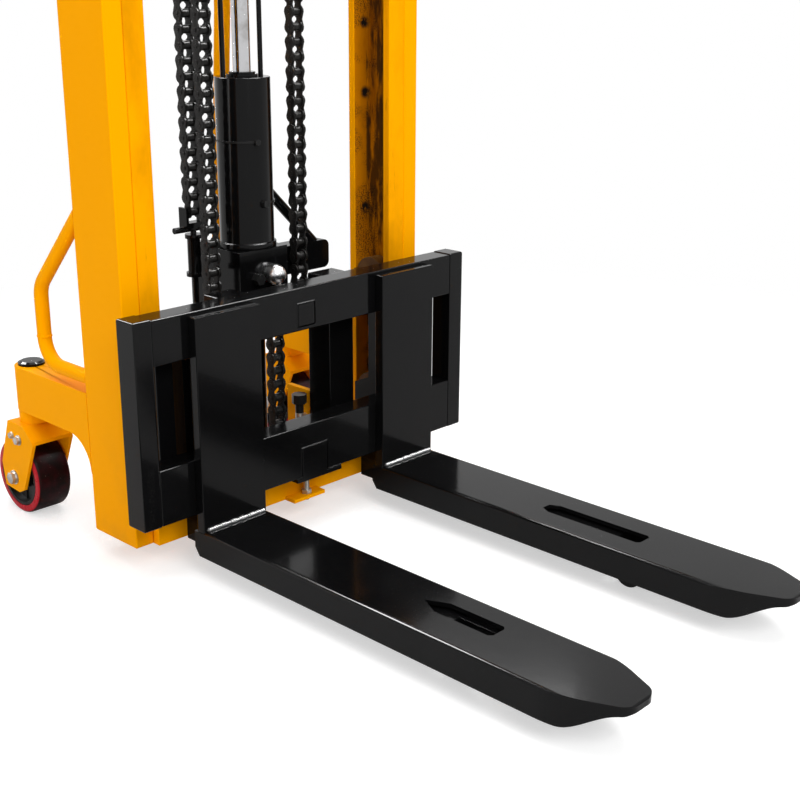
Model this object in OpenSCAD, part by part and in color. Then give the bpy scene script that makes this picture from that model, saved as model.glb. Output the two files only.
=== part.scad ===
// Hand pallet stacker: fixed mast, fork carriage lifted by chains over a hydraulic ram.
// X runs across the machine, Y from the fork tips to the casters, Z up from the floor.

/* [Forks] */
// Length of each fork from its upright face to its tip
fork_len = 915; // [750:5:1200]
// Width of each fork
fork_w = 150; // [130:1:170]
// Distance between the middles of the two forks
fork_pitch = 470; // [440:5:520]
// Height of the fork tops when lowered
fork_top = 94; // [90:1:110]
// Height of a fork blade's sides
blade_h = 55; // [50:1:60]
// Thickness of a blade's top plate
blade_top_t = 8; // [5:0.5:9]
// Thickness of a blade's side plates
blade_side_t = 6; // [4:0.5:8]
// Rounding along a blade's top edges
blade_edge_r = 6; // [2:0.5:8]
// Length of the tapered nose
nose_len = 96; // [80:1:130]
// Width of the nose's flat end
nose_w = 58; // [50:1:70]
// Thickness of the nose's end
nose_t = 16; // [12:1:22]
// How far the blade reaches behind the upright face
heel_len = 31; // [24:1:38]
// Thickness of the fork's upright plate
shank_t = 22; // [16:1:26]
// Height of the upright plate's top above the floor
shank_top = 503; // [480:1:508]
// Width of the slot in a blade
slot_w = 40; // [34:1:46]
// Length of the left blade's slot
slot_len_left = 160; // [120:5:200]
// Length of the right blade's slot
slot_len_right = 228; // [150:5:260]
// Distance from the upright face to the front of the left slot
slot_end_left = 637; // [620:1:645]
// Distance from the upright face to the front of the right slot
slot_end_right = 604; // [590:1:640]

/* [Carriage] */
// Width over the carriage's end posts
carriage_w = 852; // [820:2:900]
// Width of an end post
end_post_w = 39; // [34:1:44]
// Depth of the carriage beams, front to back
beam_d = 49; // [40:1:50]
// Wall of the carriage beams
beam_wall = 6; // [4:0.5:8]
// Height of the upper beam
upper_beam_h = 85; // [70:1:95]
// Height of the lower beam
lower_beam_h = 107; // [90:1:120]
// Underside of the lower beam above the floor
lower_beam_z = 122; // [118:1:130]
// Top of the upper beam above the floor
upper_beam_top = 509; // [500:1:520]
// Width of a rear box post
box_post_w = 68; // [56:1:74]
// Depth of a rear box post
box_post_d = 63; // [50:1:66]
// Gap between the beams and the rear box posts
box_post_gap = 24; // [16:1:28]
// Distance between the middles of the rear box posts
box_post_pitch = 268; // [240:2:290]
// Thickness of the roller plates
roller_plate_t = 18; // [12:1:20]
// Diameter of the roller pins
roller_pin_d = 30; // [24:1:36]
// Height of the lower rollers' middle
lower_roller_z = 190; // [185:1:210]
// Height of the upper rollers' middle
upper_roller_z = 452; // [430:1:455]

/* [Mast] */
// Overall height
mast_h = 2100; // [2100:10:2300]
// Width over the mast columns
mast_w = 762; // [750:2:800]
// Depth of a column's outer box
column_d = 138; // [132:1:150]
// Width of a column's outer box
column_box_w = 39; // [34:1:44]
// Wall of a column's outer box
column_wall = 5; // [4:0.5:6]
// Front of the columns behind the forks' upright face
mast_front = 118; // [114:1:124]
// Depth of the roller channel
channel_d = 120; // [118:1:128]
// Reach of the roller channel's flanges
flange_len = 44; // [40:1:48]
// Thickness of the roller channel's flanges
flange_t = 18; // [14:1:19]
// Thickness of the roller channel's web
web_t = 6; // [5:0.5:8]
// Thickness of the mast's top plate
top_plate_t = 30; // [20:1:30]
// Travel of the forks
lift = 1500; // [900:10:1500]
// Height of the cross tie's underside
tie_z = 1130; // [1100:5:1135]
// Height of the cross tie
tie_h = 60; // [50:1:60]
// Thickness of the cross tie
tie_t = 16; // [12:1:18]

/* [Base] */
// Underside of the mast above the floor
mast_clear = 44; // [40:1:50]
// Height of the front base beam
base_beam_h = 60; // [50:1:64]
// Thickness of the front base beam
base_beam_t = 18; // [14:1:20]
// Thickness of the base plate
base_plate_t = 12; // [8:1:16]
// Width of a support leg
leg_w = 82; // [70:1:92]
// Underside of a support leg above the floor
leg_z = 40; // [36:1:42]
// Height of a support leg
leg_h = 41; // [34:1:42]
// Wall of a support leg
leg_wall = 5; // [4:0.5:8]
// Radius of the load wheels
load_r = 30; // [28:0.5:34]
// Width of the load wheels
load_w = 44; // [40:1:50]
// Distance from the upright face to the load wheels' axle
load_reach = 585; // [560:5:600]
// Diameter of the load wheels' axles
load_axle_d = 20; // [16:1:24]
// Half width of the jack's seat
seat_half = 105; // [100:1:112]
// Top of the jack's seat above the floor
seat_top = 237; // [200:1:245]

/* [Casters] */
// Radius of a rear wheel
wheel_r = 80; // [74:1:84]
// Width of a rear wheel
wheel_w = 76; // [66:1:78]
// Thickness of a rear wheel's tread
tread_t = 16; // [10:1:20]
// Distance from the upright face to the swivel axis
swivel_y = 504; // [490:2:540]
// How far the wheel trails its swivel axis
trail = 25; // [15:1:40]
// Underside of the rear arms above the floor
arm_z = 228; // [222:1:240]
// Height of the rear arms
arm_h = 94; // [84:1:100]
// Width of the rear arms
arm_w = 68; // [60:1:74]
// Wall of the rear arms
arm_wall = 7; // [5:0.5:9]
// Height of the caster fork's top plate above the floor
yoke_top = 203; // [196:1:206]
// Thickness of the caster fork's plates
yoke_t = 7; // [5:0.5:8]
// Diameter of the swivel stem
stem_d = 32; // [24:1:36]
// Diameter of the wheel axles
caster_axle_d = 20; // [16:1:24]

/* [Guards] */
// Diameter of the guard tubes
guard_d = 28; // [22:1:32]
// Where the guard tube's upper end meets the column
guard_top = 662; // [600:2:700]
// How far the guard tube stands behind the column
guard_reach = 168; // [140:2:180]
// Bend radius of the guard tubes
guard_bend = 52; // [45:1:60]

/* [Jack] */
// Diameter of the jack's oil jacket
jacket_d = 109; // [100:1:112]
// Underside of the oil jacket
jacket_z = 560; // [550:1:580]
// Length of the oil jacket
jacket_len = 329; // [300:1:330]
// Wall of the oil jacket
jacket_wall = 6; // [4:0.5:8]
// Outside diameter of the lift cylinder
cylinder_d = 60; // [56:1:64]
// Bore of the lift cylinder
cylinder_bore = 45; // [42:1:48]
// Diameter of the chrome ram
ram_d = 35; // [30:1:38]
// Diameter of the guide rods
guide_d = 10; // [8:1:14]
// Distance between the guide rods
guide_pitch = 94; // [84:1:96]
// Underside of the pump block
pump_z = 463; // [455:1:470]
// Height of the pump block
pump_h = 93; // [85:1:94]
// Width of the pump block
pump_w = 124; // [110:1:128]
// Reach of the pump block's side arm from the middle
pump_arm_reach = 220; // [190:1:230]
// Diameter of the pump plunger
plunger_d = 20; // [16:1:24]
// Travel of the pump plunger
plunger_stroke = 16; // [14:1:20]

/* [Chains] */
// Pitch of the lift chains
chain_pitch = 28.6; // [25.4:0.1:31.75]
// Distance between the two lift chains
chain_spacing = 229; // [220:1:240]
// Pitch radius of the chain pulleys
pulley_r = 26; // [25.5:0.5:27]
// Height of the pulleys' axle when lowered
pulley_z = 1265; // [1262:1:1266]
// Height of the chain hooks on the carriage
hook_z = 440; // [420:1:450]
// Height of the left chain's lower end
left_anchor_z = 627; // [600:1:660]
// Diameter of the chain rollers
chain_roller_d = 17; // [15:0.5:18]
// Width of the chain rollers
chain_roller_w = 16; // [14:0.5:17]
// Thickness of a chain plate
chain_plate_t = 4; // [3:0.5:4]
// Height of a chain plate
chain_plate_h = 25; // [21:0.5:25]

/* [Tiller] */
// Height of the tiller's pivot
tiller_pivot_z = 530; // [520:1:540]
// How far the tiller's pivot lies behind the jack
tiller_offset = 114; // [110:1:124]
// Sideways place of the tiller
tiller_x = 18; // [10:1:24]
// Diameter of the tiller tube
tiller_d = 32; // [26:1:34]
// Height of the tiller's handle
tiller_top = 1250; // [1180:5:1300]
// Width of the handle
handle_w = 190; // [160:2:220]

/* [Hidden] */
$fn = 48;

// Clearances: a running fit, a gap between parts that pass, a cut's overrun and a bend's step down
fit = 0.06;
gap = 0.3;
over = 1;
step = 0.1;

yellow = "#f2a900";
black = "#1e1f1e";
steel = "#b9bcc0";
chrome = "#dcdee2";
rust = "#7a4a2a";
red = "#8f1019";

// Places along Y, counted from the upright face of the forks
rear_len = swivel_y + trail + wheel_r;
face_y = (fork_len - rear_len) / 2;
mast_back = mast_front + column_d;
channel_back = mast_front + channel_d;
beam_back = shank_t + beam_d;
groove_y = mast_front + flange_t;
groove_w = channel_d - 2 * flange_t;
roller_y = groove_y + groove_w / 2;
roller_r = groove_w / 2 - gap * 2;
jack_y = 226;
chain_front_y = jack_y - pulley_r;
chain_back_y = jack_y + pulley_r;
tiller_y = jack_y + tiller_offset;
post_y = beam_back + box_post_gap;
tie_y = chain_back_y + chain_plate_h / 2 + 4;

// Places along X, counted from the middle
fork_x = fork_pitch / 2;
column_x = mast_w / 2;
box_x = column_x - column_box_w;
channel_x = box_x - flange_len;
web_x = box_x - web_t;
plate_x = channel_x - 8;
post_x = box_post_pitch / 2;
chain_x = chain_spacing / 2;
swivel_x = column_x - arm_w / 2;
guard_x = column_x - guard_d / 2;

// Places along Z
mast_top = mast_h - top_plate_t;
base_top = mast_clear + base_plate_t;
jacket_top = jacket_z + jacket_len;
cylinder_top = jacket_top - jacket_wall - gap;
gland_h = 9;
piston_h = 30;
piston_z = cylinder_top - lift / 2 - piston_h - 22;
crosshead_z = pulley_z - 25;
chain_half = chain_roller_w / 2 + 2 * chain_plate_t;
pin_half = chain_half + 2;
lug_t = 6;
lug_x = pin_half + lug_t / 2;

// Blade outline seen from above, with its nose's corners rounded
corner_r = 30;
shoulder_r = 200;
nose_steps = 10;
function corner(p, a0, a1, r) = [
    for (i = [0:nose_steps]) let (a = a0 + (a1 - a0) * i / nose_steps)
        [p[0] + r * cos(a), p[1] + r * sin(a)]
];
nose_slope = atan2(nose_len, (fork_w - nose_w) / 2);
function blade_outline() =
    let (
        w = fork_w / 2,
        bend = 90 - nose_slope,
        shoulder = [w - shoulder_r, -(fork_len - nose_len) + shoulder_r * sin(bend) / 2],
        tip = [nose_w / 2 - corner_r * 0.55, -fork_len + corner_r],
        right = concat(
            [[w, heel_len]],
            corner(shoulder, 0, -bend, shoulder_r),
            corner(tip, -bend, -90, corner_r)
        )
    )
    concat(right, [for (i = [len(right) - 1:-1:0]) [-right[i][0], right[i][1]]]);

// Underside of the blade seen from the side: level, then an S curve up to the nose
rise_from = 8;
rise_steps = 12;
function ease(t) = t * t * (3 - 2 * t);
function blade_side() =
    let (
        low = fork_top - blade_h,
        rise = blade_h - nose_t,
        start = -(fork_len - nose_len) + rise_from
    )
    concat(
        [[heel_len, fork_top], [heel_len, low + 16], [heel_len - 12, low]],
        [for (i = [0:rise_steps]) let (t = i / rise_steps) [start - nose_len * t, low + rise * ease(t)]],
        [[-fork_len, fork_top - nose_t + 3], [-fork_len, fork_top - 3], [-fork_len + 3, fork_top]]
    );

module seat() translate([0, face_y, 0]) children();
module mirrored(side) mirror([side < 0 ? 1 : 0, 0, 0]) children();

// Block given by its low corner and its high corner
module block(low, high) translate(low) cube(high - low);

// Round bar along X, Y or Z from a point
module bar_x(p, d, l) translate(p) rotate([0, 90, 0]) cylinder(d = d, h = l);
module bar_y(p, d, l) translate(p) rotate([-90, 0, 0]) cylinder(d = d, h = l);
module bar_z(p, d, l) translate(p) cylinder(d = d, h = l);

// Outline in the YZ plane given as [y, z], stretched along X
module slab_x(x, t, outline) translate([x, 0, 0]) rotate([90, 0, 90]) linear_extrude(t) polygon(outline);

// Rectangular tube along X with open ends
module tube_x(low, high, wall) difference() {
    block(low, high);
    block(low + [-over, wall, wall], high + [over, -wall, -wall]);
}

// Part of a ring of round tube in the YZ plane; angles run from +Y towards +Z
module arc_yz(centre, bend, d, from, to) translate([0, centre[0], centre[1]]) rotate([90, 0, 90])
    rotate([0, 0, from]) rotate_extrude(angle = to - from) translate([bend, 0]) circle(d = d - step);

// Round rod between two points
module rod_between(a, b, d) {
    run = b - a;
    translate(a) rotate([0, acos(run[2] / norm(run)), atan2(run[1], run[0])]) cylinder(d = d, h = norm(run));
}

// Two lugs either side of a chain's end pin; low and high are [y, z]
module lugs(x, low, high) for (s = [-1, 1]) block(
    [x + s * lug_x - lug_t / 2, low[0], low[1]], [x + s * lug_x + lug_t / 2, high[0], high[1]]
);

// Mast
module mast_box(side) color(yellow) seat() mirrored(side) difference() {
    block([box_x, mast_front, mast_clear], [column_x, mast_back, mast_top]);
    block(
        [box_x + column_wall, mast_front + column_wall, mast_clear + column_wall],
        [column_x - column_wall, mast_back - column_wall, mast_top + over]
    );
}
module mast_channel(side) color(yellow) seat() mirrored(side) difference() {
    block([channel_x, mast_front, base_top], [box_x, channel_back, mast_top]);
    block([channel_x - over, groove_y, base_top - over], [web_x, groove_y + groove_w, mast_top + over]);
}
module mast_top_plate() color(yellow) seat()
    block([-column_x, mast_front, mast_top], [column_x, mast_back, mast_h]);
module mast_cross_tie() color(yellow) seat() {
    block([-column_x, tie_y, tie_z], [column_x, tie_y + tie_t, tie_z + tie_h]);
    for (side = [-1, 1]) mirrored(side)
        block([box_x, mast_back, tie_z], [column_x, tie_y, tie_z + tie_h]);
}

// Base
base_front = mast_front - base_beam_t;
bracket = [85, 30, 8];
bracket_x = 17;
bracket_bolt_d = 12;
bracket_bolt = [bracket_x + 3, base_front - bracket[1] / 2, mast_clear];
seat_t = 12;
seat_front = post_y + box_post_d + 6;
seat_back = chain_back_y - 16;
tie_chain_y = 148;
tie_chain_top = pump_z - 12;
tie_chain_links = 12;
tie_chain_z = tie_chain_top - tie_chain_links * chain_pitch;
module base_frame() color(yellow) seat() {
    block([-box_x, base_front, mast_clear], [box_x, mast_front, mast_clear + base_beam_h]);
    block([-box_x, mast_front, mast_clear], [box_x, mast_back + 6, base_top]);
    for (side = [-1, 1]) mirrored(side)
        block([seat_half, seat_front, base_top], [seat_half + seat_t, seat_back, seat_top]);
    lugs(0, [mast_front, base_top], [tie_chain_y + 14, tie_chain_z + 12]);
    difference() {
        block(
            [bracket_x - bracket[0] / 2, base_front - bracket[1], mast_clear],
            [bracket_x + bracket[0] / 2, base_front, mast_clear + bracket[2]]
        );
        bar_z(bracket_bolt - [0, 0, over], bracket_bolt_d + 2 * gap, bracket[2] + 2 * over);
    }
}
leg_tip = load_reach + 46;
leg_end = load_reach - load_r - 12;
leg_skid = 20;
leg_bevel = 12;
cheek_t = 8;
load_gap = 2;
module support_leg(side) color(black) seat() mirrored(side) translate([fork_x, 0, 0]) difference() {
    union() {
        block([-leg_w / 2, -leg_end, leg_z], [leg_w / 2, base_front, leg_z + leg_h]);
        for (s = [-1, 1]) mirrored(s)
            slab_x(load_w / 2 + load_gap, cheek_t, [
                [-leg_end, leg_z], [-leg_end, leg_z + leg_h], [-leg_tip + leg_bevel, leg_z + leg_h],
                [-leg_tip, leg_z + leg_h - leg_bevel], [-leg_tip, leg_z - leg_skid / 2],
                [-leg_tip + leg_skid, leg_z - leg_skid], [-leg_end - load_r, leg_z - leg_skid]
            ]);
    }
    block(
        [-leg_w / 2 + leg_wall, -leg_end + leg_wall, leg_z + leg_wall],
        [leg_w / 2 - leg_wall, base_front - leg_wall, leg_z + leg_h - leg_wall]
    );
    bar_x([-leg_w, -load_reach, load_r], load_axle_d + 2 * fit, 2 * leg_w);
}
load_axle_len = load_w + 2 * (load_gap + cheek_t) + 4;
module load_axles() color(steel) seat() for (s = [-1, 1])
    bar_x([s * fork_x - load_axle_len / 2, -load_reach, load_r], load_axle_d, load_axle_len);
module load_wheel(side) color(black) seat() difference() {
    bar_x([side * fork_x - load_w / 2, -load_reach, load_r], 2 * load_r, load_w);
    bar_x([side * fork_x - load_w, -load_reach, load_r], load_axle_d + 2 * fit, 2 * load_w);
}

// Rear arms and casters
arm_gusset = 70;
gusset_steps = 8;
boss_r = arm_w / 2;
module caster_arm(side) color(yellow) seat() mirrored(side) difference() {
    union() {
        block([column_x - arm_w, mast_back, arm_z], [column_x, swivel_y, arm_z + arm_h]);
        bar_z([swivel_x, swivel_y, arm_z], arm_w, arm_h);
        slab_x(column_x - column_box_w, column_box_w, concat(
            [[mast_back, arm_z + over]],
            [for (i = [0:gusset_steps]) let (a = 180 - 90 * i / gusset_steps) [
                mast_back + arm_gusset + arm_gusset * cos(a), arm_z - arm_gusset + arm_gusset * sin(a)
            ]],
            [[mast_back + arm_gusset, arm_z + over]]
        ));
    }
    block(
        [column_x - arm_w + arm_wall, mast_back + arm_wall, arm_z + arm_wall],
        [column_x - arm_wall, swivel_y - boss_r, arm_z + arm_h - arm_wall]
    );
    bar_z([swivel_x, swivel_y, arm_z - over], stem_d + 2 * fit, arm_h + 2 * over);
}
cap_d = 54;
cap_rim = 5;
cap_crown = 3;
module swivel_caps() color(black) seat() for (s = [-1, 1])
    translate([s * swivel_x, swivel_y, arm_z + arm_h]) {
        cylinder(d = cap_d, h = cap_rim);
        translate([0, 0, cap_rim]) cylinder(d1 = cap_d - 4, d2 = cap_d - 12, h = cap_crown);
    }
cheek_x = wheel_w / 2 + 2;
axle_y = swivel_y + trail;
yoke_front = swivel_y - 24;
yoke_back = swivel_y + 34;
yoke_slope = [swivel_y - 56, yoke_top - 28];
yoke_foot = [[-34, -20], [-14, -30], [38, -26], [46, 24]];
race_d = 66;
bolt_big = [axle_y - 29, wheel_r + 89];
bolt_small = [axle_y - 4, wheel_r + 94];
module caster_fork(side) color(yellow) seat() mirrored(side) translate([swivel_x, 0, 0]) {
    difference() {
        union() {
            for (s = [-1, 1]) mirrored(s) slab_x(cheek_x, yoke_t, concat(
                [[yoke_back, yoke_top], [yoke_front, yoke_top], yoke_slope, yoke_slope - [2, yoke_t]],
                [for (p = yoke_foot) [axle_y, wheel_r] + p]
            ));
            block([-cheek_x, yoke_front, yoke_top - yoke_t], [cheek_x, yoke_back, yoke_top]);
            slab_x(-cheek_x, 2 * cheek_x, [
                [yoke_front, yoke_top], yoke_slope, yoke_slope - [0, yoke_t], [yoke_front, yoke_top - yoke_t]
            ]);
        }
        bar_x([-wheel_w, axle_y, wheel_r], caster_axle_d + 2 * gap, 2 * wheel_w);
    }
    bar_z([0, swivel_y, yoke_top], race_d, arm_z - yoke_top - gap);
    bar_z([0, swivel_y, yoke_top], stem_d, arm_z + arm_h - yoke_top - gap);
}
module caster_axle(side) color(steel) seat() mirrored(side) translate([swivel_x, 0, 0]) {
    bar_x([-cheek_x - yoke_t - 6, axle_y, wheel_r], caster_axle_d, 2 * (cheek_x + yoke_t + 6));
    translate([cheek_x + yoke_t, 0, 0]) {
        bar_x([0, bolt_big[0], bolt_big[1]], 15, 7, $fn = 6);
        bar_x([0, bolt_small[0], bolt_small[1]], 10, 5, $fn = 6);
    }
}
hub_d = 44;
rim_r = wheel_r - tread_t;
rim_t = 8;
web_w = wheel_w - 32;
module caster_hub(side) color(black) seat() mirrored(side)
    translate([swivel_x, axle_y, wheel_r]) difference() {
        union() {
            bar_x([-wheel_w / 2, 0, 0], hub_d, wheel_w);
            bar_x([-web_w / 2, 0, 0], 2 * rim_r - rim_t, web_w);
            difference() {
                bar_x([-wheel_w / 2 + 3, 0, 0], 2 * rim_r, wheel_w - 6);
                bar_x([-wheel_w, 0, 0], 2 * (rim_r - rim_t), 2 * wheel_w);
            }
        }
        bar_x([-wheel_w, 0, 0], caster_axle_d + 2 * fit, 2 * wheel_w);
    }
tyre_edge = 7;
module caster_tyre(side) color(red) seat() mirrored(side)
    translate([swivel_x, axle_y, wheel_r]) rotate([0, 90, 0]) rotate_extrude() polygon([
        [rim_r, -wheel_w / 2], [wheel_r - tyre_edge, -wheel_w / 2], [wheel_r, -wheel_w / 2 + tyre_edge],
        [wheel_r, wheel_w / 2 - tyre_edge], [wheel_r - tyre_edge, wheel_w / 2], [rim_r, wheel_w / 2]
    ]);

// Guard tube: level along the arm, up, then forward to the column
guard_z = arm_z + arm_h + guard_d;
guard_lean = 44;
guard_bend_y = mast_back + guard_reach - guard_d / 2 - guard_bend;
guard_slope_start = guard_bend_y + guard_bend * cos(guard_lean);
guard_slope_run = (guard_slope_start - mast_back) / sin(guard_lean);
guard_bend_z = guard_top - guard_bend * sin(guard_lean) - guard_slope_run * cos(guard_lean);
module guard_tube_left() color(yellow) seat() translate([-guard_x, 0, 0]) {
    bar_y([0, mast_back, guard_z], guard_d, guard_bend_y - mast_back);
    arc_yz([guard_bend_y, guard_z + guard_bend], guard_bend, guard_d, -90, 0);
    bar_z([0, guard_bend_y + guard_bend, guard_z + guard_bend], guard_d, guard_bend_z - guard_z - guard_bend);
    arc_yz([guard_bend_y, guard_bend_z], guard_bend, guard_d, 0, guard_lean);
    difference() {
        translate([0, guard_slope_start, guard_bend_z + guard_bend * sin(guard_lean)])
            rotate([guard_lean, 0, 0]) cylinder(d = guard_d, h = guard_slope_run + guard_d);
        block(
            [-guard_d, mast_back - 2 * guard_d, guard_top - 2 * guard_d],
            [guard_d, mast_back, guard_top + 2 * guard_d]
        );
    }
}

// Jack
module lift_cylinder() color(black) seat() difference() {
    bar_z([0, jack_y, base_top], cylinder_d, cylinder_top - base_top);
    bar_z([0, jack_y, base_top + 16], cylinder_bore, cylinder_top);
}
module oil_jacket() color(black) seat() difference() {
    union() {
        bar_z([0, jack_y, jacket_z], jacket_d, jacket_len);
        bar_z([0, jack_y, jacket_z - 4], jacket_d + 8, 12);
    }
    bar_z([0, jack_y, jacket_z + jacket_wall], jacket_d - 2 * jacket_wall, jacket_len - 2 * jacket_wall);
    bar_z([0, jack_y, jacket_z - 5], cylinder_d + 2 * gap, jacket_len - jacket_wall + 5);
    bar_z([0, jack_y, jacket_z], ram_d + 6, jacket_len + over);
}
module ram_gland() color(black) seat() difference() {
    union() {
        bar_z([0, jack_y, jacket_top], 62, 5);
        bar_z([0, jack_y, jacket_top], 52, gland_h);
    }
    bar_z([0, jack_y, jacket_top - over], ram_d + 2 * fit, gland_h + 2 * over);
}
strap_z = [jacket_z + 85, jacket_z + 206];
strap_t = 2.5;
strap_r = jacket_d / 2 + gap;
knob = [seat_half - 17, seat_front + 14, seat_top - 26];
module strap(z, h, from, sweep) translate([0, 0, z]) rotate([0, 0, from]) rotate_extrude(angle = sweep)
    translate([strap_r, 0]) square([strap_t, h]);
module fittings() {
    color(black) seat() translate([0, jack_y, 0]) {
        strap(strap_z[1], 4, 160, 97);
        strap(strap_z[0], 5, -88, 116);
        rotate([0, 0, -104]) bar_x([strap_r, 0, strap_z[1] + 2], 13, 9, $fn = 6);
        rotate([0, 0, -90]) bar_x([strap_r, 0, strap_z[0] + 2], 16, 10, $fn = 6);
        bar_y([-22, block_front - jack_y - 17, pump_z + 36], 24, 17, $fn = 6);
    }
    color(black) seat() translate(knob) {
        bar_z([0, 0, -46], 18, 46);
        bar_z([0, 0, 0], 32, 20, $fn = 8);
        bar_x([0, 0, -34], 16, seat_half - knob[0]);
    }
    color(steel) seat() {
        bar_x([tiller_x - ear_out - 5, tiller_y, tiller_pivot_z], tiller_pin_d, 2 * ear_out + 10);
        bar_z(bracket_bolt - [0, 0, 6], bracket_bolt_d, 44);
        bar_z(bracket_bolt + [0, 0, bracket[2]], 22, 9, $fn = 6);
    }
    color(chrome) seat() translate([28, block_front, pump_z + 38]) intersection() {
        sphere(r = 16);
        block([-20, -20, -20], [20, 0, 20]);
    }
}
tiller_pin_d = 16;
ear_t = 12;
ear_out = 40;
ear_top = 20;
block_back = jack_y + pump_w / 2;
block_front = block_back - pump_w + 12;
plunger_arm = 26;
lug_top = pump_z + 6;
lug_z = lug_top - plunger_stroke - 50;
lug_back = tiller_y + plunger_arm + 22;
arm_front = jack_y - 4;
arm_back = arm_front + 40;
arm_low = pump_z + 17;
arm_top = arm_low + 60;
arm_r = 14;
arm_mid = pump_arm_reach - arm_r;
module pump_block() color(black) seat() difference() {
    union() {
        block([-pump_w / 2, block_front, pump_z], [pump_w / 2, block_back, pump_z + pump_h]);
        block([pump_w / 2 - over, arm_front, arm_low], [arm_mid, arm_back, arm_top]);
        block([arm_mid - over, arm_front, arm_low + arm_r], [pump_arm_reach, arm_back, arm_top - arm_r]);
        for (z = [arm_low + arm_r, arm_top - arm_r])
            bar_y([arm_mid, arm_front, z], 2 * arm_r, arm_back - arm_front);
        lugs(0, [tie_chain_y - 12, tie_chain_top - 14], [block_front + over, tie_chain_top + 24]);
        block([tiller_x - ear_out, block_back - over, lug_z], [tiller_x + ear_out, lug_back, lug_top]);
        for (s = [-1, 1]) slab_x(tiller_x + s * (ear_out - ear_t / 2) - ear_t / 2, ear_t, [
            [block_back - over, lug_z], [block_back - over, pump_z + pump_h],
            [tiller_y + ear_top - ear_t, tiller_pivot_z + ear_top],
            [tiller_y + ear_top, tiller_pivot_z + ear_top - ear_t],
            [tiller_y + plunger_arm + 8, lug_top], [tiller_y + plunger_arm + 8, lug_z]
        ]);
    }
    bar_z([0, jack_y, pump_z - over], cylinder_d + 2 * gap, pump_h + 2 * over);
    bar_x([tiller_x - 2 * ear_out, tiller_y, tiller_pivot_z], tiller_pin_d + 2 * fit, 4 * ear_out);
    bar_z([tiller_x, tiller_y + plunger_arm, lug_z - over], plunger_d + 2 * fit, lug_top - lug_z + 2 * over);
}
strut_d = 22;
strut_low = [pump_arm_reach - 34, arm_back - 22, arm_top];
strut_high = [jacket_d / 2 - 10, jack_y + 14, jacket_z + jacket_len * 0.37];
module pump_strut() color(black) seat() difference() {
    rod_between(strut_low - 0.1 * (strut_high - strut_low), strut_high, strut_d);
    block(strut_low - 3 * [strut_d, strut_d, strut_d], strut_low + 3 * [strut_d, strut_d, 0]);
    bar_z([0, jack_y, jacket_z], jacket_d, jacket_len);
}
module guide_rods() color(black) seat() for (s = [-1, 1])
    bar_z([s * guide_pitch / 2, jack_y, jacket_top], guide_d, mast_top - jacket_top);
module ram_rod() color(chrome) seat() {
    bar_z([0, jack_y, piston_z], cylinder_bore - 2 * fit, piston_h);
    bar_z([0, jack_y, piston_z], ram_d, crosshead_z - piston_z);
}
cap_t = 8;
pulley_pin_d = 14;
cheek_out = chain_x + pin_half + 3 + cap_t;
core_x = chain_x - pin_half - lug_t;
cap_z = pulley_z + pulley_r + chain_plate_h / 2 + 2;
core_half = 22;
cheek_half = 25;
pin_end = 4;
module crosshead() color(black) seat() difference() {
    union() {
        block([-core_x, jack_y - core_half, crosshead_z], [core_x, jack_y + core_half, cap_z]);
        block([-cheek_out, jack_y - cheek_half, cap_z], [cheek_out, jack_y + cheek_half, cap_z + cap_t]);
        for (s = [-1, 1]) mirrored(s) block(
            [cheek_out - cap_t, jack_y - cheek_half, pulley_z - core_half],
            [cheek_out, jack_y + cheek_half, cap_z]
        );
        bar_x([-cheek_out - pin_end, jack_y, pulley_z], pulley_pin_d, 2 * (cheek_out + pin_end));
    }
    for (s = [-1, 1])
        bar_z([s * guide_pitch / 2, jack_y, crosshead_z - over], guide_d + 2 * fit, cap_z);
}
drum_r = pulley_r - chain_roller_d / 2 - gap;
module chain_pulleys() color(steel) seat() for (s = [-1, 1]) difference() {
    bar_x([s * chain_x - chain_roller_w / 2 + 0.5, jack_y, pulley_z], 2 * drum_r, chain_roller_w - 1);
    bar_x([s * chain_x - chain_roller_w, jack_y, pulley_z], pulley_pin_d + 2 * fit, 2 * chain_roller_w);
}

// Roller chain along Z: pins along X, inner and outer plates in turn
module link(y, z, x, outer) for (s = [-1, 1]) {
    low = x + s * (chain_roller_w / 2 + (outer ? 1.5 : 0.5) * chain_plate_t) - chain_plate_t / 2;
    for (k = [0, 1]) bar_x([low, y, z + k * chain_pitch], chain_plate_h, chain_plate_t);
    block(
        [low, y - chain_plate_h * 0.36, z],
        [low + chain_plate_t, y + chain_plate_h * 0.36, z + chain_pitch]
    );
}
module chain_pin(y, z, x) {
    bar_x([x - chain_roller_w / 2, y, z], chain_roller_d, chain_roller_w);
    bar_x([x - pin_half, y, z], chain_roller_d / 2, 2 * pin_half);
}
module strand(x, y, z0, count) {
    for (i = [0:count - 1]) link(y, z0 + i * chain_pitch, x, i % 2 == 1);
    for (i = [0:count]) chain_pin(y, z0 + i * chain_pitch, x);
}
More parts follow.
